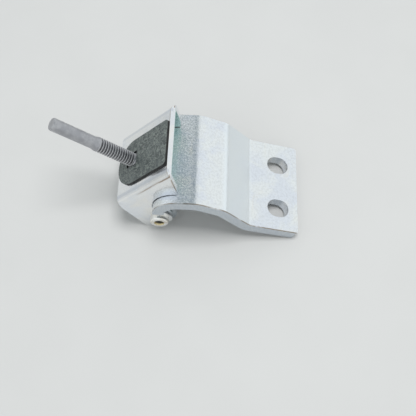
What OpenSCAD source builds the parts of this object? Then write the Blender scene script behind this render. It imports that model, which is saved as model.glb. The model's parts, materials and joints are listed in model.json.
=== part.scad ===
/* [Mounting plate] */
// Width of the mounting plate across the hinge axis
plate_w = 70; // [66:1:84]
// Thickness of the mounting plate
plate_t = 8; // [6:0.5:8]
// Tilt of the bolted foot below the horizontal
foot_tilt = 17; // [12:1:20]
// Straight length of the foot
foot_len = 33.4; // [30:0.1:45]
// Slope of the ramp above the foot
ramp_slope = 50; // [42:0.5:52]
// Straight length of the ramp
ramp_len = 21.8; // [16:0.1:26]
// Slope of the shoulder between the ramp and the crown
shoulder_slope = 26; // [18:0.5:30]
// Straight length of the shoulder
shoulder_len = 13; // [8:0.1:18]
// Straight length of the level crown
crown_len = 9.3; // [6:0.1:13]
// Outer bend radius where the crown turns down to the hinge
arch_r = 16.8; // [15:0.1:18]
// Width of the tab that is rolled round the pin
tab_w = 48.4; // [40:0.1:48.6]

/* [Bolt slots] */
// Width of each slot in the foot
slot_w = 13.5; // [9:0.5:14]
// Length of each slot
slot_len = 16; // [14.5:0.5:18]
// Distance between the two slots
slot_gap = 35; // [30:1:38]
// Distance from the foot's end to the middle of a slot
slot_inset = 15; // [12:0.1:18]

/* [Swing bracket] */
// Angle of the stud above the horizontal with the bracket on its stop
stud_rise = 41.5; // [38:0.1:43]
// Width across the ears
channel_w = 57; // [56.8:0.1:60]
// Thickness of the bracket's sheet
sheet_t = 4; // [3:0.1:4]
// Height of the web's outer face above the hinge axis
web_s = 33.4; // [32:0.1:34]
// Far end of the web, measured along it from the hinge axis
web_far = 49.5; // [46:0.1:52]
// Near end of the web, behind the hinge axis
web_near = 4.9; // [3:0.1:6]
// Outer bend radius between the web and an ear
channel_r = 7; // [5.5:0.5:8]
// Clearance between the ears' curved edges and the plate
stop_gap = 0.6; // [0.5:0.1:1.2]

/* [Pad and stud] */
// Width of the clamp pad
pad_w = 34; // [30:1:38]
// Thickness of the clamp pad
pad_t = 1.5; // [1:0.1:3]
// Distance of the stud's axis along the web from the hinge axis
stud_at = 10.8; // [10:0.1:12]
// Thread diameter of the stud
thread_d = 10; // [8:1:10]
// Diameter of the stud's plain pilot end
pilot_d = 8.6; // [6.5:0.1:9]
// Length of thread above the pad
thread_len = 28; // [20:1:34]
// Length of the plain pilot end
pilot_len = 31; // [20:1:38]

/* [Hinge pin] */
// Diameter of the hinge pin
pin_d = 8; // [7:0.5:8]
// Diameter of the pin's head
head_d = 13; // [12:0.5:16]
// Height of the pin's head
head_h = 4; // [3:0.1:5]

/* [Hidden] */
$fn = 96;
over = 1;
turn_pitch = 6;
zinc = "#bcc5cd";
zinc_dark = "#a9b3bd";
slate = "#4f5a5a";
steel = "#8d9196";
bright = "#d8d8d2";

// hinge: running clearance of the rolled eye, close fit in the ears
eye_gap = 0.08;
ear_gap = 0.05;
pin_r = pin_d / 2;
eye_in = pin_r + eye_gap;
eye_out = eye_in + plate_t;
eye_end = 60;

// the tab drops centred over the pin, so a reverse bend leads into the eye
reverse_r = 2;
reverse_mid = reverse_r + plate_t / 2;
eye_mid = eye_in + plate_t / 2;
drop_x = 0.5;
reverse_x = drop_x - reverse_mid;
reverse_z = sqrt(pow(reverse_mid + eye_mid, 2) - reverse_x * reverse_x);
reverse_turn = atan2(reverse_z, reverse_x);
bore_cut = 0.4;
blend_turn = 10;
arch_z = 18.75;
margin_z = 18.5;
shoulder_r = 20;
ramp_r = 14;
foot_r = 9;
corner_in = 3.2;
corner_r = 3.5;

// legs of the plate from the crown to the foot: straight length, bend, top radius
LEGS = [
  [crown_len, -shoulder_slope, shoulder_r],
  [shoulder_len, shoulder_slope - ramp_slope, ramp_r],
  [ramp_len, ramp_slope - foot_tilt, foot_r],
  [foot_len, 0, 0]
];
arch_x = drop_x - plate_t / 2 + arch_r;
crown_z = arch_z + arch_r;

// points of an arc about c, from angle a0 to a1
function arc(c, r, a0, a1) =
  let (n = max(1, ceil(abs(a1 - a0) / turn_pitch)))
  [for (k = [0 : n]) c + r * [cos(a0 + (a1 - a0) * k / n), sin(a0 + (a1 - a0) * k / n)]];
function reversed(list) = [for (k = [1 : len(list)]) list[len(list) - k]];

// a leg's heading, its upward normal, and the points where its top line starts and ends
function heading(i) = i == 0 ? 0 : heading(i - 1) + LEGS[i - 1][1];
function normal(i) = [-sin(heading(i)), cos(heading(i))];
function leg_end(i) = leg_start(i) + LEGS[i][0] * [cos(heading(i)), sin(heading(i))];
function bend_centre(i) = leg_end(i) + sign(LEGS[i][1]) * LEGS[i][2] * normal(i);
function leg_start(i) =
  i == 0 ? [arch_x, crown_z]
         : bend_centre(i - 1) - sign(LEGS[i - 1][1]) * LEGS[i - 1][2] * normal(i);

// a bend's arc at a depth below the plate's top line
function bend_arc(i, depth) =
  let (way = sign(LEGS[i][1]), a = heading(i) - 90 * way)
  arc(bend_centre(i), LEGS[i][2] + way * depth, a, a + LEGS[i][1]);
function leg_line(depth) = concat(bend_arc(0, depth), bend_arc(1, depth), bend_arc(2, depth));
foot_top = leg_start(3) + foot_len * [cos(foot_tilt), -sin(foot_tilt)];
foot_edge = foot_top - plate_t * [sin(foot_tilt), cos(foot_tilt)];

// swing bracket: its own axes are r along the web and s along the stud
ear_y = channel_w / 2;
ear_in = ear_y - sheet_t;
lug_r = 9;
heel_r = 6;
heel_x = -6.5;
pad_near = 15;
pad_shift = -1.8;
pad_margin = 0.4;
pad_corner = 3;
pad_play = 0.2;
head_t = 4.2;
head_r = 10;
neck_r = 4;
near_lean = 0.7;
beak_past = 0.15;
beak_h = 7.5;
channel_reach = 75;
pad_s = web_s + pad_t;
cone_len = 3;
thread_end = pad_s + thread_len;
pilot_start = thread_end + cone_len;
stud_end = pilot_start + pilot_len;
tip_bevel = 0.8;

// pin: dished head in front, hammered end at the back
head_rim = 0.9;
dish_r = 3.6;
dish_low_r = 2.4;
dish_h = 2.4;
peen_h = 3;
peen_r = 6;
peen_tip_r = 4;

// the pin's axis stands this high when the foot's edge rests at z = 0
pin_z = -foot_edge[1];
tip_r = pilot_d / 2 - tip_bevel;
stud_dir = [-cos(stud_rise), sin(stud_rise)];
web_dir = [sin(stud_rise), cos(stud_rise)];
tip_low_x = min((stud_end * stud_dir + stud_at * web_dir)[0] - tip_r * sin(stud_rise),
                ((stud_end - tip_bevel) * stud_dir + stud_at * web_dir)[0] - pilot_d / 2 * sin(stud_rise));
pin_x = -(foot_top[0] + tip_low_x) / 2;

// places a drawing in the X-Z plane, extruded w wide about y = 0, with the pin at its origin
module side(w) {
  translate([pin_x, 0, pin_z])
    rotate([90, 0, 0])
      translate([0, 0, -w / 2])
        linear_extrude(w)
          children();
}

// places a solid drawn along r, y and s: its x runs along the web and its z along the stud
module swing() {
  translate([pin_x, 0, pin_z])
    rotate([0, stud_rise - 90, 0])
      children();
}

// the plate's side view: arch, crown, legs and foot, and the tab down to its rolled eye
module plate_2d() {
  arch = [arch_x, arch_z];
  back = [reverse_x, reverse_z];
  back_end = reverse_turn - 180;
  polygon(concat(
    arc(arch, arch_r, 90, 180),
    arc(back, reverse_r, 0, back_end),
    arc([0, 0], eye_out, reverse_turn, 360 + eye_end),
    arc([0, 0], eye_in - bore_cut, 360 + eye_end, reverse_turn),
    arc(back, reverse_r + plate_t, back_end + blend_turn, 0),
    arc(arch, arch_r - plate_t, 180, 90),
    leg_line(plate_t),
    [foot_edge, foot_top],
    reversed(leg_line(0))
  ));
}

// the space either side of the tab, below the plate's margins
module tab_sides() {
  reach = eye_out + over;
  for (y = [-plate_w / 2 - over, tab_w / 2]) {
    translate([pin_x - reach, y, pin_z - reach])
      cube([reach + arch_x, plate_w / 2 + over - tab_w / 2, reach + margin_z]);
  }
}

// a slot standing through the foot, drawn along the foot's own slope
module slot() {
  half = (slot_len - slot_w) / 2;
  for (x = [-half, half]) {
    translate([x, 0, 0]) cylinder(h = plate_t + 2 * over, d = slot_w, center = true);
  }
  cube([2 * half, slot_w, plate_t + 2 * over], center = true);
}

module foot_slots() {
  centre = foot_top - slot_inset * [cos(foot_tilt), -sin(foot_tilt)];
  for (y = [-1, 1]) {
    translate([pin_x + centre[0], y * slot_gap / 2, pin_z + centre[1]])
      rotate([0, foot_tilt, 0])
        translate([0, 0, -plate_t / 2])
          slot();
  }
}

// rounds the foot's two free corners
module corner_trim() {
  translate([pin_x + foot_top[0], 0, pin_z + foot_top[1]])
    rotate([0, foot_tilt, 0])
      for (side_y = [-1, 1]) {
        translate([-corner_in, side_y * (plate_w / 2 - corner_in), -plate_t / 2])
          difference() {
            translate([0, side_y > 0 ? 0 : -corner_in - over, -plate_t / 2 - over])
              cube([corner_in + over, corner_in + over, plate_t + 2 * over]);
            cylinder(h = plate_t + 4 * over, r = corner_r, center = true);
          }
      }
}

module mounting_bracket() {
  color(zinc)
    difference() {
      side(plate_w) plate_2d();
      tab_sides();
      side(plate_w + 2 * over) circle(eye_in);
      foot_slots();
      corner_trim();
    }
}

// point in the X-Z plane for a place along the web and the stud
function xz(r, s) = r * web_dir + s * stud_dir;

// the ears' side view: lug, heel, neck, the edge that follows the plate, and the web's two ends
module ear_2d() {
  heel = [heel_x, heel_r - pin_z];
  low = atan2(heel[1], heel[0]) + 90 + asin((lug_r - heel_r) / norm(heel));
  near_low = xz(-web_near - near_lean, web_s - sheet_t);
  from_heel = near_low - heel;
  outer = atan2(from_heel[1], from_heel[0]) + acos(heel_r / norm(from_heel));
  neck_x = arch_x - arch_r - stop_gap;
  neck = [neck_x + neck_r, sqrt(pow(lug_r + neck_r, 2) - pow(neck_x + neck_r, 2))];
  touch = atan2(neck[1], neck[0]);
  beak_x = arch_x + beak_past;
  polygon(concat(
    [xz(-web_near, web_s + over), near_low],
    arc(heel, heel_r, outer, 270),
    arc(heel, heel_r, 270, low + 360),
    arc([0, 0], lug_r, low, touch),
    arc(neck, neck_r, touch + 180, 180),
    arc([arch_x, arch_z], arch_r + stop_gap, 180, 90),
    [[beak_x, crown_z + stop_gap], [beak_x, crown_z + beak_h]],
    [xz(web_far, web_s - sheet_t), xz(web_far, web_s + over)]
  ));
}

// a bar along r, from y0 to y1 and from s0 to s1
module bar(y0, y1, s0, s1) {
  translate([-channel_reach, y0, s0]) cube([2 * channel_reach, y1 - y0, s1 - s0]);
}

// a round bar along r
module round_bar(y, s, r) {
  translate([-channel_reach, y, s]) rotate([0, 90, 0]) cylinder(h = 2 * channel_reach, r = r);
}

// the channel with its web on top
module channel() {
  low = web_s - channel_reach;
  bend_s = web_s - channel_r;
  r_in = channel_r - sheet_t;
  difference() {
    union() {
      bar(-ear_y, ear_y, low, bend_s);
      bar(channel_r - ear_y, ear_y - channel_r, bend_s - over, web_s);
      for (y = [channel_r - ear_y, ear_y - channel_r]) {
        round_bar(y, bend_s, channel_r);
      }
    }
    bar(-ear_in, ear_in, low - over, bend_s);
    bar(r_in - ear_in, ear_in - r_in, bend_s - over, web_s - sheet_t);
    for (y = [r_in - ear_in, ear_in - r_in]) {
      round_bar(y, bend_s, r_in);
    }
  }
}

module swing_bracket() {
  color(zinc_dark)
    difference() {
      intersection() {
        swing() channel();
        side(channel_w + 2 * over) ear_2d();
      }
      side(channel_w + 4 * over) circle(pin_r + ear_gap);
      swing()
        translate([stud_at, 0, web_s - sheet_t / 2])
          cube([thread_d, thread_d, sheet_t + 2 * over], center = true);
    }
}

module clamp_pad() {
  half = pad_w / 2;
  near_mid = stud_at - pad_near + half;
  far = web_far - pad_margin;
  color(slate)
    swing()
      translate([0, pad_shift, web_s])
        difference() {
          union() {
            translate([near_mid, 0, 0]) cylinder(h = pad_t, r = half);
            translate([near_mid, -half, 0]) cube([far - pad_corner - near_mid, pad_w, pad_t]);
            translate([near_mid, pad_corner - half, 0]) cube([far - near_mid, pad_w - 2 * pad_corner, pad_t]);
            for (y = [pad_corner - half, half - pad_corner]) {
              translate([far - pad_corner, y, 0]) cylinder(h = pad_t, r = pad_corner);
            }
          }
          translate([stud_at, -pad_shift, pad_t / 2])
            cube([thread_d + 2 * pad_play, thread_d + 2 * pad_play, pad_t + 2 * over], center = true);
        }
}

module stud_bolt() {
  neck = thread_d - 2 * ear_gap;
  color(steel)
    swing()
      translate([stud_at, 0, 0]) {
        translate([0, 0, web_s - sheet_t - head_t]) cylinder(h = head_t, r = head_r);
        translate([-neck / 2, -neck / 2, web_s - sheet_t]) cube([neck, neck, sheet_t]);
        translate([0, 0, web_s - sheet_t]) cylinder(h = thread_end - web_s + sheet_t, d = neck);
        translate([0, 0, web_s]) cylinder(h = thread_end - web_s, d = thread_d);
        translate([0, 0, thread_end]) cylinder(h = cone_len, d1 = thread_d, d2 = pilot_d);
        translate([0, 0, pilot_start]) cylinder(h = pilot_len - tip_bevel, d = pilot_d);
        translate([0, 0, stud_end - tip_bevel]) cylinder(h = tip_bevel, d1 = pilot_d, d2 = 2 * tip_r);
      }
}

module hinge_pin() {
  dish_s = ear_y + head_h - dish_h;
  color(bright)
    translate([pin_x, 0, pin_z])
      rotate([90, 0, 0])
        difference() {
          union() {
            cylinder(h = channel_w, r = pin_r, center = true);
            translate([0, 0, ear_y]) cylinder(h = head_h - head_rim, r = head_d / 2);
            translate([0, 0, ear_y + head_h - head_rim])
              cylinder(h = head_rim, r1 = head_d / 2, r2 = head_d / 2 - head_rim);
            translate([0, 0, -ear_y - peen_h]) cylinder(h = peen_h, r1 = peen_tip_r, r2 = peen_r);
          }
          translate([0, 0, dish_s]) cylinder(h = dish_h, r1 = dish_low_r, r2 = dish_r);
        }
}

mounting_bracket();
swing_bracket();
clamp_pad();
stud_bolt();
hinge_pin();
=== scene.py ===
"""Looks for the hinged spare tire carrier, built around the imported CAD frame. Metres, row frame."""
import json
import math

import bpy
from mathutils import Matrix, Vector


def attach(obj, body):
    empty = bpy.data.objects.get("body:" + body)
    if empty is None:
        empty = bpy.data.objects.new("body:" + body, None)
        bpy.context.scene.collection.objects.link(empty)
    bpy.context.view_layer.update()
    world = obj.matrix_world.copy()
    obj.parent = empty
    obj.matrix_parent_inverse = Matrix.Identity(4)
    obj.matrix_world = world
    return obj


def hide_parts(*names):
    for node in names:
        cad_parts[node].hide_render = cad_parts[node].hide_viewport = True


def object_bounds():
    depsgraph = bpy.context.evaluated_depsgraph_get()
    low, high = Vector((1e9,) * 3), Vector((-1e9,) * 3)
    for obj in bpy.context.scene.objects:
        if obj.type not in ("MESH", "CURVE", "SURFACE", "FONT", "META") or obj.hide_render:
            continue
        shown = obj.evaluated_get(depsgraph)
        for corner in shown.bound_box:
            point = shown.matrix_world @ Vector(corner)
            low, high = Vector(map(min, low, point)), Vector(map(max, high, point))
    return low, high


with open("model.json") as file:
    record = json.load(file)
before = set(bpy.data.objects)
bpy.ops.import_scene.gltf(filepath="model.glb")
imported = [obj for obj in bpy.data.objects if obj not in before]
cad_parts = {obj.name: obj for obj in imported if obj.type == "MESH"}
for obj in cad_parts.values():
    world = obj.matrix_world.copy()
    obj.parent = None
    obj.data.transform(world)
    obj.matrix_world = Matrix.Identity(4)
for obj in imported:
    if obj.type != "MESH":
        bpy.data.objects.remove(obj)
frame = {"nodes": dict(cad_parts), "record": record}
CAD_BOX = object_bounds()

MM = 0.001
RECORD = frame["record"]
MOUNTS = {m["name"]: m for m in RECORD["mounts"]}

# ---------------------------------------------------------------- the carrier's own axes and sizes
HINGE = Vector(RECORD["behaviour"]["joints"][0]["pos_m"])
AXIS = Vector(MOUNTS["stud_pilot"]["axis"]).normalized()
ALONG = Vector((AXIS.z, 0.0, -AXIS.x))
ACROSS = Vector((0.0, 1.0, 0.0))

STUD_R = 5.0 * MM
PILOT_R = MOUNTS["stud_pilot"]["dims"]["r_mm"] * MM
PILOT_LEN = MOUNTS["stud_pilot"]["dims"]["length_mm"] * MM
THREAD_LEN = MOUNTS["stud_thread"]["dims"]["length_mm"] * MM
THREAD_PITCH = 1.9 * MM
THREAD_DEPTH = 0.95 * MM
CONE = 3.0 * MM
TIP = 0.8 * MM
PAD_T = 1.5 * MM
SHEET = 4.0 * MM
HEAD_T = 4.2 * MM
HEAD_R = 10.0 * MM
NECK = 9.9 * MM
PAD_TOP = Vector(MOUNTS["stud_thread"]["pos_m"]) - AXIS * THREAD_LEN / 2

# the same places in mm from the hinge's axis: "s" along the stud and "r" along the web
PAD_S = (PAD_TOP - HINGE).dot(AXIS) / MM
WEB_S = PAD_S - PAD_T / MM
WEB_IN_S = WEB_S - SHEET / MM
THREAD_TOP_S = PAD_S + THREAD_LEN / MM
STUD_R_AT = (PAD_TOP - HINGE).dot(ALONG) / MM
WEB_FAR_R = 49.5
EAR_Y = 28.5
EAR_IN_Y = EAR_Y - SHEET / MM
PLATE_Y = CAD_BOX[1][1] / MM
BEAK = Vector((13.45, 0.0, 43.05))

# where the painted marks, painted highlights and painted reflection lie, in mm
BEND_LINE_S = 30.7
BEND_LINE_Y = 25.0
CROWN_X = (6.0, 12.0)
RAMP_RISE_X = (27.0, 31.0)
RAMP_FALL_X = (50.0, 46.0)


# ---------------------------------------------------------------- node helpers
class Nodes:
    """Adds and wires the nodes of one tree."""

    def __init__(self, tree):
        self.tree = tree
        tree.nodes.clear()

    def add(self, kind, inputs=None, **props):
        node = self.tree.nodes.new(kind)
        for key, value in props.items():
            setattr(node, key, value)
        for key, value in (inputs or {}).items():
            self.put(node.inputs[key], value)
        return node

    def put(self, socket, value):
        if isinstance(value, bpy.types.NodeSocket):
            self.tree.links.new(value, socket)
        else:
            socket.default_value = value

    def math(self, op, a, b=0.5):
        return self.add("ShaderNodeMath", {0: a, 1: b}, operation=op).outputs[0]

    def plus(self, a, b):
        return self.math("ADD", a, b)

    def minus(self, a, b):
        return self.math("SUBTRACT", a, b)

    def times(self, first, *others):
        for other in others:
            first = self.math("MULTIPLY", first, other)
        return first

    def size(self, value):
        return self.math("ABSOLUTE", value)

    def radius(self, a, b):
        return self.math("SQRT", self.plus(self.times(a, a), self.times(b, b)))

    def axes(self, vector):
        return self.add("ShaderNodeSeparateXYZ", {"Vector": vector}).outputs

    def dot(self, vector, direction):
        return self.add("ShaderNodeVectorMath", {0: vector, 1: tuple(direction)},
                        operation="DOT_PRODUCT").outputs["Value"]

    def band(self, value, lo, hi, out_lo=0.0, out_hi=1.0):
        """A smooth step from lo to hi."""
        return self.add("ShaderNodeMapRange", {"Value": value, "From Min": lo, "From Max": hi,
                                               "To Min": out_lo, "To Max": out_hi},
                        interpolation_type="SMOOTHSTEP").outputs[0]

    def mix(self, fac, a, b, blend="MIX"):
        node = self.add("ShaderNodeMix", data_type="RGBA", blend_type=blend)
        for index, value in ((0, fac), (6, a), (7, b)):
            self.put(node.inputs[index], value)
        return node.outputs[2]

    def noise(self, vector, scale, detail=3.0, rough=0.6, distortion=0.0):
        return self.add("ShaderNodeTexNoise", {"Vector": vector, "Scale": scale, "Detail": detail,
                                               "Roughness": rough, "Distortion": distortion}).outputs["Fac"]

    def mapped(self, vector, scale, rotation=(0, 0, 0)):
        return self.add("ShaderNodeMapping",
                        {"Vector": vector, "Scale": scale, "Rotation": rotation}).outputs[0]


def rgb(r, g, b):
    return (r, g, b, 1.0)


def new_material(name, build):
    """A material whose build gets the tree, its shader, the place in mm and the surface's normal."""
    material = bpy.data.materials.new(name)
    material.use_nodes = True
    nodes = Nodes(material.node_tree)
    coords = nodes.add("ShaderNodeTexCoord").outputs
    place = nodes.mapped(coords["Object"], (1 / MM, 1 / MM, 1 / MM))
    out = nodes.add("ShaderNodeOutputMaterial")
    shader = nodes.add("ShaderNodeBsdfPrincipled")
    nodes.put(out.inputs["Surface"], shader.outputs[0])
    build(nodes, shader, place, coords["Normal"])
    return material


def finish(nodes, shader, colour, rough, metallic=1.0):
    nodes.put(shader.inputs["Base Color"], colour)
    nodes.put(shader.inputs["Roughness"], rough)
    nodes.put(shader.inputs["Metallic"], metallic)


def bump(nodes, shader, height, strength, distance):
    node = nodes.add("ShaderNodeBump", {"Strength": strength, "Distance": distance, "Height": height})
    nodes.put(shader.inputs["Normal"], node.outputs[0])


# ---------------------------------------------------------------- materials
def from_hinge(nodes, place, direction):
    """Distance from the hinge's axis along a direction, in mm."""
    return nodes.minus(nodes.dot(place, direction), HINGE.dot(direction) / MM)


def painted_inner_shade(nodes, place, colour):
    """Painted shade and reflection: a green-grey tint on the channel's inner faces."""
    inner_y = nodes.band(nodes.size(nodes.axes(place)["Y"]), EAR_IN_Y + 0.5, EAR_IN_Y + 0.1)
    inner_s = nodes.band(from_hinge(nodes, place, AXIS), WEB_IN_S + 0.5, WEB_IN_S + 0.1)
    # painted shade and reflection: the inner faces of the ears and web tinted green-grey
    return nodes.mix(nodes.times(inner_y, inner_s), colour, rgb(0.60, 0.74, 0.72))


def end_lines(nodes, place, colour):
    """Brown lines at the channel's open end: across the web, then down the front ear."""
    r = from_hinge(nodes, place, ALONG)
    web_end = nodes.times(nodes.band(r, WEB_FAR_R - 0.9, WEB_FAR_R - 0.5),
                          nodes.band(r, WEB_FAR_R - 0.05, WEB_FAR_R - 0.15),
                          nodes.band(from_hinge(nodes, place, AXIS), WEB_IN_S, WEB_IN_S + 1.0))
    colour = nodes.mix(nodes.times(web_end, 0.7), colour, rgb(0.40, 0.34, 0.26))
    web_corner = HINGE / MM + WEB_FAR_R * ALONG + WEB_IN_S * AXIS
    run = (HINGE / MM + BEAK - web_corner).normalized()
    beside = Vector((run.z, 0.0, -run.x))
    off = nodes.size(nodes.minus(nodes.dot(place, beside), web_corner.dot(beside)))
    ear_end = nodes.times(nodes.band(off, 1.0, 0.5),
                          nodes.band(nodes.axes(place)["Y"], 0.6 - EAR_Y, 0.2 - EAR_Y))
    return nodes.mix(nodes.times(ear_end, 0.8), colour, rgb(0.36, 0.30, 0.23))


def bend_bands(nodes, place, colour):
    """Where the sheet bends from web to ear: a band of painted shade, a line of painted highlight and a brown
    line of painted reflection.
    """
    s = from_hinge(nodes, place, AXIS)
    side = nodes.size(nodes.axes(place)["Y"])
    # painted shade: a blue-grey band on the bend's upper part
    shaded = nodes.times(nodes.band(side, 21.4, 22.4), nodes.band(side, 24.6, 23.8),
                         nodes.band(s, WEB_S - 2.4, WEB_S - 1.6))
    colour = nodes.mix(nodes.times(shaded, 0.6), colour, rgb(0.62, 0.66, 0.73))
    wander = nodes.noise(nodes.mapped(place, (0.06, 0.3, 0.06)), 1.0)
    s = nodes.plus(s, nodes.times(nodes.minus(wander, 0.5), 1.6))
    outer = nodes.band(side, BEND_LINE_Y, BEND_LINE_Y + 0.8)
    # painted highlight: a white line along the bend
    bend_highlight = nodes.band(nodes.size(nodes.minus(s, BEND_LINE_S + 1.5)), 0.9, 0.2)
    colour = nodes.mix(nodes.times(bend_highlight, outer), colour, rgb(0.97, 0.97, 0.96))
    # painted reflection: a brown line along the bend, broken up by noise
    brown = nodes.times(nodes.band(nodes.size(nodes.minus(s, BEND_LINE_S)), 0.60, 0.10),
                        nodes.band(wander, 0.30, 0.55, 0.35, 0.95), outer,
                        nodes.band(from_hinge(nodes, place, ALONG), 8.0, 30.0))
    return nodes.mix(brown, colour, rgb(0.36, 0.29, 0.23))


def sheared(nodes, place, side, colour):
    """The plate's dull sheared faces, a painted highlight lightening its ramp and the brown line along its
    front edge.
    """
    flat = nodes.minus(1.0, side)
    shear = nodes.noise(nodes.mapped(place, (1.1, 1.0, 0.18)), 1.0, 3.0, 0.7)
    dull = nodes.mix(nodes.band(shear, 0.35, 0.65), rgb(0.40, 0.46, 0.52), rgb(0.56, 0.60, 0.64))
    colour = nodes.mix(nodes.times(side, 0.75), colour, dull)
    at = nodes.axes(place)
    # painted highlight: the ramp's flat faces lightened towards blue-white
    ramp_highlight = nodes.times(nodes.band(at["X"], *RAMP_RISE_X), nodes.band(at["X"], *RAMP_FALL_X), flat)
    colour = nodes.mix(nodes.times(ramp_highlight, 0.8), colour, rgb(0.90, 0.96, 1.0))
    line = nodes.times(nodes.band(at["Y"], 1.1 - PLATE_Y, 0.5 - PLATE_Y), flat,
                       nodes.band(nodes.noise(place, 0.13), 0.34, 0.56, 0.25, 0.95))
    return nodes.mix(line, colour, rgb(0.30, 0.25, 0.20))


def zinc(nodes, shader, place, tints, mottle, rough_range, grain, marks_and_painted_light):
    """Bright zinc plating: cloudy tints, fine grain and rolled streaks, then the piece's own marks and its
    painted light.
    """
    base, blue, warm = tints
    cloud = nodes.noise(place, 0.045, 4.0, 0.6, 0.4)
    warmth = nodes.noise(nodes.mapped(place, (0.05, 0.03, 0.05), (0.3, 0.1, 0.9)), 1.0, 3.0, 0.5, 0.8)
    speck = nodes.noise(place, 0.62, 3.0, 0.62)
    fine = nodes.noise(place, 2.6)
    streak = nodes.noise(nodes.mapped(place, (0.9, 0.05, 0.9)), 1.0)
    colour = nodes.mix(nodes.band(cloud, 0.42, 0.62), base, blue)
    colour = nodes.mix(nodes.band(warmth, 0.56, 0.70, 0.0, 0.5), colour, warm)
    shade = nodes.band(speck, 0.34, 0.60, 1.0 - mottle, 1.0)
    grey = nodes.add("ShaderNodeCombineColor", {"Red": shade, "Green": shade, "Blue": shade}).outputs[0]
    # the piece's own marks and its painted shade, highlights and reflection are laid on here
    colour = marks_and_painted_light(nodes.mix(1.0, colour, grey, "MULTIPLY"))
    rough = nodes.band(nodes.plus(nodes.times(speck, 0.6), nodes.times(cloud, 0.4)), 0.38, 0.62, *rough_range)
    finish(nodes, shader, colour, rough)
    relief = nodes.plus(nodes.times(speck, 0.7), nodes.plus(nodes.times(fine, 0.25), nodes.times(streak, 0.3)))
    bump(nodes, shader, relief, grain, 0.4 * MM)


def plate_zinc(nodes, shader, place, normal):
    """The mounting plate: its grain is strong on the crown and weaker beyond it."""
    side = nodes.band(nodes.size(nodes.axes(normal)["Y"]), 0.80, 0.97)
    grain = nodes.band(nodes.axes(place)["X"], *CROWN_X, 1.0, 0.3)
    tints = rgb(0.86, 0.89, 0.90), rgb(0.80, 0.84, 0.90), rgb(0.92, 0.90, 0.82)
    zinc(nodes, shader, place, tints, 0.08, (0.13, 0.24), grain,
         lambda colour: sheared(nodes, place, side, colour))


def channel_zinc(nodes, shader, place, normal):
    """The channel: smoother sheet, with brown end lines and painted shade, highlight and reflection at its bend
    and inner faces.
    """
    tints = rgb(0.89, 0.90, 0.90), rgb(0.83, 0.86, 0.90), rgb(0.92, 0.90, 0.84)
    zinc(nodes, shader, place, tints, 0.04, (0.14, 0.24), 0.10,
         lambda colour: bend_bands(nodes, place, end_lines(nodes, place, painted_inner_shade(nodes, place, colour))))


def burr(nodes, shader, place, normal):
    """The plate's bevelled edges, brown where the plating is thin."""
    patch = nodes.noise(place, 0.22)
    colour = nodes.mix(nodes.band(patch, 0.40, 0.58), rgb(0.34, 0.30, 0.26), rgb(0.14, 0.11, 0.09))
    finish(nodes, shader, colour, nodes.band(patch, 0.3, 0.7, 0.30, 0.50))
    bump(nodes, shader, nodes.noise(place, 1.4), 0.15, 0.3 * MM)


def rim(nodes, shader, place, normal):
    """The channel's bevelled edges: worn bright, brown in stretches."""
    patch = nodes.noise(place, 0.10)
    colour = nodes.mix(nodes.band(patch, 0.44, 0.56), rgb(0.80, 0.80, 0.79), rgb(0.36, 0.31, 0.26))
    finish(nodes, shader, colour, nodes.band(patch, 0.3, 0.7, 0.24, 0.40))


def pad_coat(nodes, shader, place, normal):
    """Dark grey-green coating, speckled on its face, with painted shade turning its sides near black."""
    speck = nodes.noise(place, 0.46, 3.0, 0.62, 1.8)
    cloud = nodes.noise(place, 0.12)
    flake = nodes.add("ShaderNodeTexVoronoi", {"Vector": place, "Scale": 0.9}, feature="F1").outputs["Distance"]
    colour = nodes.mix(nodes.band(speck, 0.42, 0.62), rgb(0.040, 0.049, 0.050), rgb(0.200, 0.228, 0.214))
    colour = nodes.mix(nodes.band(cloud, 0.40, 0.66, 0.0, 0.45), colour, rgb(0.088, 0.104, 0.104))
    colour = nodes.mix(nodes.band(flake, 0.10, 0.32, 0.35, 0.0), colour, rgb(0.24, 0.27, 0.25))
    # painted shade: faces whose normals lie across the stud's axis made near black
    sides = nodes.band(nodes.size(nodes.dot(normal, AXIS)), 0.80, 0.30)
    colour = nodes.mix(sides, colour, rgb(0.012, 0.012, 0.012))
    finish(nodes, shader, colour, nodes.band(speck, 0.3, 0.7, 0.42, 0.62), 0.25)
    bump(nodes, shader, speck, 0.35, 0.4 * MM)


def stud_steel(nodes, shader, place, normal):
    """Satin grey plating, with painted shade in the thread's grooves and painted highlights on its crests."""
    cloud = nodes.noise(place, 0.16, 4.0, 0.65)
    speck = nodes.noise(place, 1.3)
    colour = nodes.mix(nodes.band(cloud, 0.38, 0.64), rgb(0.38, 0.385, 0.41), rgb(0.50, 0.505, 0.525))
    colour = nodes.mix(nodes.band(speck, 0.55, 0.75, 0.0, 0.35), colour, rgb(0.28, 0.285, 0.295))
    r = nodes.minus(from_hinge(nodes, place, ALONG), STUD_R_AT)
    reach = nodes.radius(r, nodes.axes(place)["Y"])
    s = from_hinge(nodes, place, AXIS)
    threaded = nodes.times(nodes.band(s, WEB_S + 1.0, WEB_S + 2.0),
                           nodes.band(s, THREAD_TOP_S, THREAD_TOP_S - 1.0))
    # painted highlight on the thread's crests and painted shade in its grooves
    crest = nodes.times(nodes.band(reach, 4.85, 4.95), threaded)
    groove_shade = nodes.times(nodes.band(reach, 4.85, 4.45), threaded)
    colour = nodes.mix(crest, colour, rgb(0.58, 0.585, 0.60))
    colour = nodes.mix(groove_shade, colour, rgb(0.23, 0.23, 0.24))
    finish(nodes, shader, colour, nodes.band(cloud, 0.3, 0.7, 0.30, 0.44))
    bump(nodes, shader, speck, 0.12, 0.3 * MM)


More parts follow.
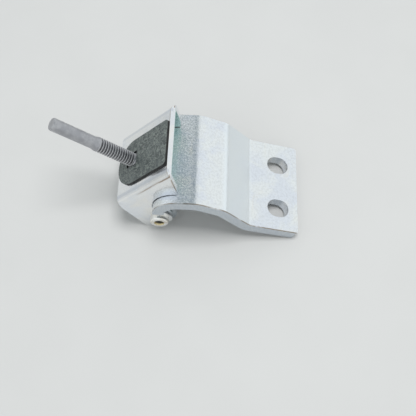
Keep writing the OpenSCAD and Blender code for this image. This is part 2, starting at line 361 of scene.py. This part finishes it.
def pin_steel(nodes, shader, place, normal):
    """Brighter plating on the pin, with a warm lip round its dish and painted shade darkening the dish."""
    cloud = nodes.noise(place, 0.30)
    speck = nodes.noise(place, 1.5)
    colour = nodes.mix(nodes.band(cloud, 0.42, 0.66), rgb(0.90, 0.90, 0.88), rgb(0.80, 0.77, 0.70))
    at = nodes.axes(place)
    reach = nodes.radius(nodes.minus(at["X"], HINGE.x / MM), nodes.minus(at["Z"], HINGE.z / MM))
    colour = nodes.mix(nodes.band(reach, 3.9, 3.3), colour, rgb(0.62, 0.52, 0.30))
    # painted shade: near black within 3.4 mm of the pin's axis, on both of the pin's ends
    colour = nodes.mix(nodes.band(reach, 3.4, 2.7), colour, rgb(0.035, 0.035, 0.035))
    finish(nodes, shader, colour, nodes.band(speck, 0.3, 0.7, 0.22, 0.38))
    bump(nodes, shader, speck, 0.10, 0.3 * MM)


def floor_paper(nodes, shader, place, normal):
    """Plain pale studio paper."""
    tooth = nodes.noise(place, 0.02, 2.0, 0.5)
    colour = nodes.mix(nodes.band(tooth, 0.3, 0.7), rgb(0.500, 0.502, 0.496), rgb(0.508, 0.510, 0.504))
    finish(nodes, shader, colour, 0.9, 0.0)
    shader.inputs["Specular IOR Level"].default_value = 0.1


PLATE = new_material("zinc_plate", plate_zinc)
CHANNEL = new_material("zinc_channel", channel_zinc)
BURR = new_material("sheared_edge", burr)
RIM = new_material("zinc_rim", rim)
PAD = new_material("pad_coat", pad_coat)
STUD = new_material("stud_steel", stud_steel)
PIN = new_material("pin_steel", pin_steel)


# ---------------------------------------------------------------- CAD nodes: edges and finish
SHARP = math.radians(38)


def smooth_tree():
    """Geometry nodes that shade smooth below the sharp angle and flat above it."""
    tree = bpy.data.node_groups.new("smooth_by_angle", "GeometryNodeTree")
    tree.interface.new_socket("Geometry", in_out="INPUT", socket_type="NodeSocketGeometry")
    tree.interface.new_socket("Geometry", in_out="OUTPUT", socket_type="NodeSocketGeometry")
    inp = tree.nodes.new("NodeGroupInput")
    out = tree.nodes.new("NodeGroupOutput")
    faces = tree.nodes.new("GeometryNodeSetShadeSmooth")
    edges = tree.nodes.new("GeometryNodeSetShadeSmooth")
    faces.domain = "FACE"
    edges.domain = "EDGE"
    edges.inputs["Shade Smooth"].default_value = False
    bend = tree.nodes.new("GeometryNodeInputMeshEdgeAngle")
    over = tree.nodes.new("FunctionNodeCompare")
    over.operation = "GREATER_THAN"
    over.inputs[1].default_value = SHARP
    for a, b in ((inp.outputs[0], faces.inputs["Geometry"]), (faces.outputs[0], edges.inputs["Geometry"]),
                 (bend.outputs["Unsigned Angle"], over.inputs[0]), (over.outputs[0], edges.inputs["Selection"]),
                 (edges.outputs[0], out.inputs[0])):
        tree.links.new(a, b)
    return tree


SMOOTH = smooth_tree()


def dress(node, materials, width, edge_slot=-1):
    """Gives a CAD node its materials, bevelled edges and smooth shading."""
    obj = frame["nodes"][node]
    obj.data.materials.clear()
    for material in materials:
        obj.data.materials.append(material)
    weld = obj.modifiers.new("weld", "WELD")
    weld.merge_threshold = 1e-6
    bevel = obj.modifiers.new("edge", "BEVEL")
    bevel.width = width
    bevel.segments = 2
    bevel.limit_method = "ANGLE"
    bevel.angle_limit = SHARP
    bevel.use_clamp_overlap = True
    bevel.material = edge_slot
    obj.modifiers.new("smooth", "NODES").node_group = SMOOTH
    weighted = obj.modifiers.new("weighted", "WEIGHTED_NORMAL")
    weighted.keep_sharp = True


dress("mounting_bracket", [PLATE, BURR], 0.50 * MM, 1)
dress("swing_bracket", [CHANNEL, RIM], 0.35 * MM, 1)
dress("clamp_pad", [PAD], 0.40 * MM)
dress("hinge_pin", [PIN], 0.35 * MM)


# ---------------------------------------------------------------- stud: shank with a real thread, neck and head
def stud_point(t, radius, angle):
    """A point at a height t above the pad, at a radius and angle about the stud's axis."""
    return PAD_TOP + AXIS * t + ALONG * radius * math.cos(angle) + ACROSS * radius * math.sin(angle)


def mesh_object(name, verts, faces, material):
    """A mesh piece in the scene, smooth below the sharp angle."""
    mesh = bpy.data.meshes.new(name)
    mesh.from_pydata([tuple(v) for v in verts], [], faces)
    mesh.validate()
    mesh.update()
    obj = bpy.data.objects.new(name, mesh)
    bpy.context.scene.collection.objects.link(obj)
    mesh.materials.append(material)
    obj.modifiers.new("smooth", "NODES").node_group = SMOOTH
    return obj


def lathe(name, rings, sides, material, radius_at=None):
    """A closed solid of revolution about the stud's axis: rings are (height, radius)."""
    verts = []
    for t, r in rings:
        for k in range(sides):
            angle = 2 * math.pi * k / sides
            verts.append(stud_point(t, radius_at(t, r, angle) if radius_at else r, angle))
    faces = []
    for i in range(len(rings) - 1):
        for k in range(sides):
            n = (k + 1) % sides
            faces.append((i * sides + k, i * sides + n, (i + 1) * sides + n, (i + 1) * sides + k))
    faces.append(tuple(reversed(range(sides))))
    faces.append(tuple((len(rings) - 1) * sides + k for k in range(sides)))
    return mesh_object(name, verts, faces, material)


def thread_radius(t, r, angle):
    """The helix's radius: flat crest, sloping flanks, fading out at both ends of the thread."""
    fade = min(1.0, max(0.0, (t + 1.0 * MM) / (1.2 * MM)),
               max(0.0, (THREAD_LEN + 0.4 * MM - t) / (1.6 * MM)))
    if fade <= 0.0:
        return r
    phase = (t / THREAD_PITCH - angle / (2 * math.pi)) % 1.0
    flank = abs(2 * phase - 1)
    cut = min(1.0, max(0.0, (flank - 0.14) / 0.68))
    cut = cut * cut * (3 - 2 * cut)
    return r - THREAD_DEPTH * cut * fade


def shank_rings():
    """Fine rings for the thread, then the cone, the plain pilot and its rounded tip."""
    rings = [(-PAD_T, STUD_R)]
    step = THREAD_PITCH / 12
    count = int(round((THREAD_LEN + PAD_T) / step))
    rings += [(-PAD_T + step * (k + 1), STUD_R) for k in range(count)]
    for k in range(1, 9):
        u = k / 8
        ease = u * u * (3 - 2 * u)
        rings.append((THREAD_LEN + CONE * u, STUD_R + (PILOT_R - STUD_R) * (0.35 * u + 0.65 * ease)))
    start = THREAD_LEN + CONE
    rings += [(start + PILOT_LEN * k / 16, PILOT_R) for k in range(1, 17)]
    end = start + PILOT_LEN
    for k in range(1, 6):
        turn = k * math.pi / 10
        rings.append((end + TIP * math.sin(turn), PILOT_R - TIP * (1 - math.cos(turn))))
    return rings


def head_rings():
    """The flat head under the web, rounded below."""
    low = -PAD_T - SHEET - HEAD_T
    dome = 1.2 * MM
    reach = 2.2 * dome
    rings = [(low, HEAD_R * 0.35), (low, HEAD_R - reach)]
    for k in range(1, 7):
        turn = k * math.pi / 12
        rings.append((low + dome * (1 - math.cos(turn)), HEAD_R - reach + reach * math.sin(turn)))
    top = -PAD_T - SHEET
    rings += [(top - 0.3 * MM, HEAD_R), (top, HEAD_R - 0.3 * MM)]
    return rings


def square_neck():
    """The square shoulder in the web, with rounded corners."""
    corner = 0.8 * MM
    half = NECK / 2
    outline = []
    for quarter in range(4):
        centre = Vector(((half - corner) * (1 if quarter in (0, 3) else -1),
                         (half - corner) * (1 if quarter in (0, 1) else -1)))
        for k in range(5):
            angle = quarter * math.pi / 2 + k * math.pi / 8
            outline.append(centre + corner * Vector((math.cos(angle), math.sin(angle))))
    levels = [-PAD_T - SHEET, -PAD_T - SHEET / 2, -PAD_T]
    verts = [PAD_TOP + AXIS * t + ALONG * p.x + ACROSS * p.y for t in levels for p in outline]
    n = len(outline)
    faces = [(i * n + k, i * n + (k + 1) % n, (i + 1) * n + (k + 1) % n, (i + 1) * n + k)
             for i in range(len(levels) - 1) for k in range(n)]
    faces += [tuple(reversed(range(n))), tuple((len(levels) - 1) * n + k for k in range(n))]
    return mesh_object("stud_neck", verts, faces, STUD)


shank = lathe("stud_shank", shank_rings(), 72, STUD, thread_radius)
head = lathe("stud_head", head_rings(), 64, STUD)
neck = square_neck()
for piece in (shank, head, neck):
    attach(piece, "swing")
    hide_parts("stud_bolt")


# ---------------------------------------------------------------- floor, world, lights
def make_floor():
    half = 12.0
    mesh = bpy.data.meshes.new("floor")
    corners = [(-half, -half, 0), (half, -half, 0), (half, half, 0), (-half, half, 0)]
    mesh.from_pydata(corners, [], [(0, 1, 2, 3)])
    obj = bpy.data.objects.new("floor", mesh)
    bpy.context.scene.collection.objects.link(obj)
    mesh.materials.append(new_material("floor_paper", floor_paper))


def make_world():
    """Pale studio surround, dimmer overhead, with a dark patch that the crown mirrors to the camera."""
    world = bpy.data.worlds.new("studio")
    bpy.context.scene.world = world
    world.use_nodes = True
    nodes = Nodes(world.node_tree)
    towards = nodes.add("ShaderNodeTexCoord").outputs["Generated"]
    height = nodes.axes(towards)["Z"]
    mirrored = Vector((-0.02, 0.46, 0.89)).normalized()
    patch = nodes.band(nodes.dot(towards, mirrored), math.cos(math.radians(19)), math.cos(math.radians(10)))
    colour = nodes.mix(nodes.band(height, -0.02, 0.16), rgb(0.70, 0.715, 0.71), rgb(0.87, 0.90, 0.905))
    colour = nodes.mix(nodes.band(height, 0.84, 0.95), colour, rgb(0.36, 0.40, 0.42))
    colour = nodes.mix(patch, colour, rgb(0.24, 0.29, 0.32))
    shine = nodes.add("ShaderNodeBackground", {"Color": colour, "Strength": 1.0})
    out = nodes.add("ShaderNodeOutputWorld")
    nodes.put(out.inputs["Surface"], shine.outputs[0])


def key_light():
    """One soft light overhead, which the zinc does not mirror."""
    light = bpy.data.lights.new("key_above", "AREA")
    light.shape = "RECTANGLE"
    light.size = light.size_y = 0.50
    light.energy = 10.5
    obj = bpy.data.objects.new("key_above", light)
    bpy.context.scene.collection.objects.link(obj)
    place = Vector((0.10, 0.00, 1.20))
    aim = Vector((0.0, 0.0, 0.02))
    obj.location = place
    obj.rotation_euler = (aim - place).to_track_quat("-Z", "Y").to_euler()
    obj.visible_glossy = False


make_floor()
make_world()
key_light()


# ---------------------------------------------------------------- camera
SENSOR = 36.0
FOCAL_WIDTHS = 665.0 / 416.0
ELEVATION = math.radians(63.5)
YAW = math.radians(-1.64)
ROLL = math.radians(0.366)
DISTANCE = 0.485264
TARGET = Vector((0.018573, -0.013311, 0.000444))


def make_camera():
    """The photograph's camera, worked out from the plate's outline."""
    camera = bpy.data.cameras.new("camera")
    camera.sensor_width = SENSOR
    camera.lens = SENSOR * FOCAL_WIDTHS
    camera.clip_start = 0.01
    obj = bpy.data.objects.new("camera", camera)
    bpy.context.scene.collection.objects.link(obj)
    level = math.cos(ELEVATION)
    ahead = Vector((math.sin(YAW) * level, math.cos(YAW) * level, -math.sin(ELEVATION)))
    right = Vector((math.cos(YAW), -math.sin(YAW), 0.0))
    up = right.cross(ahead)
    turned_right = right * math.cos(ROLL) + up * math.sin(ROLL)
    turned_up = up * math.cos(ROLL) - right * math.sin(ROLL)
    axes = Matrix((turned_right, turned_up, -ahead)).transposed().to_4x4()
    obj.matrix_world = Matrix.Translation(TARGET - ahead * DISTANCE) @ axes
    bpy.context.scene.camera = obj


make_camera()
bpy.context.scene.view_settings.view_transform = "Standard"
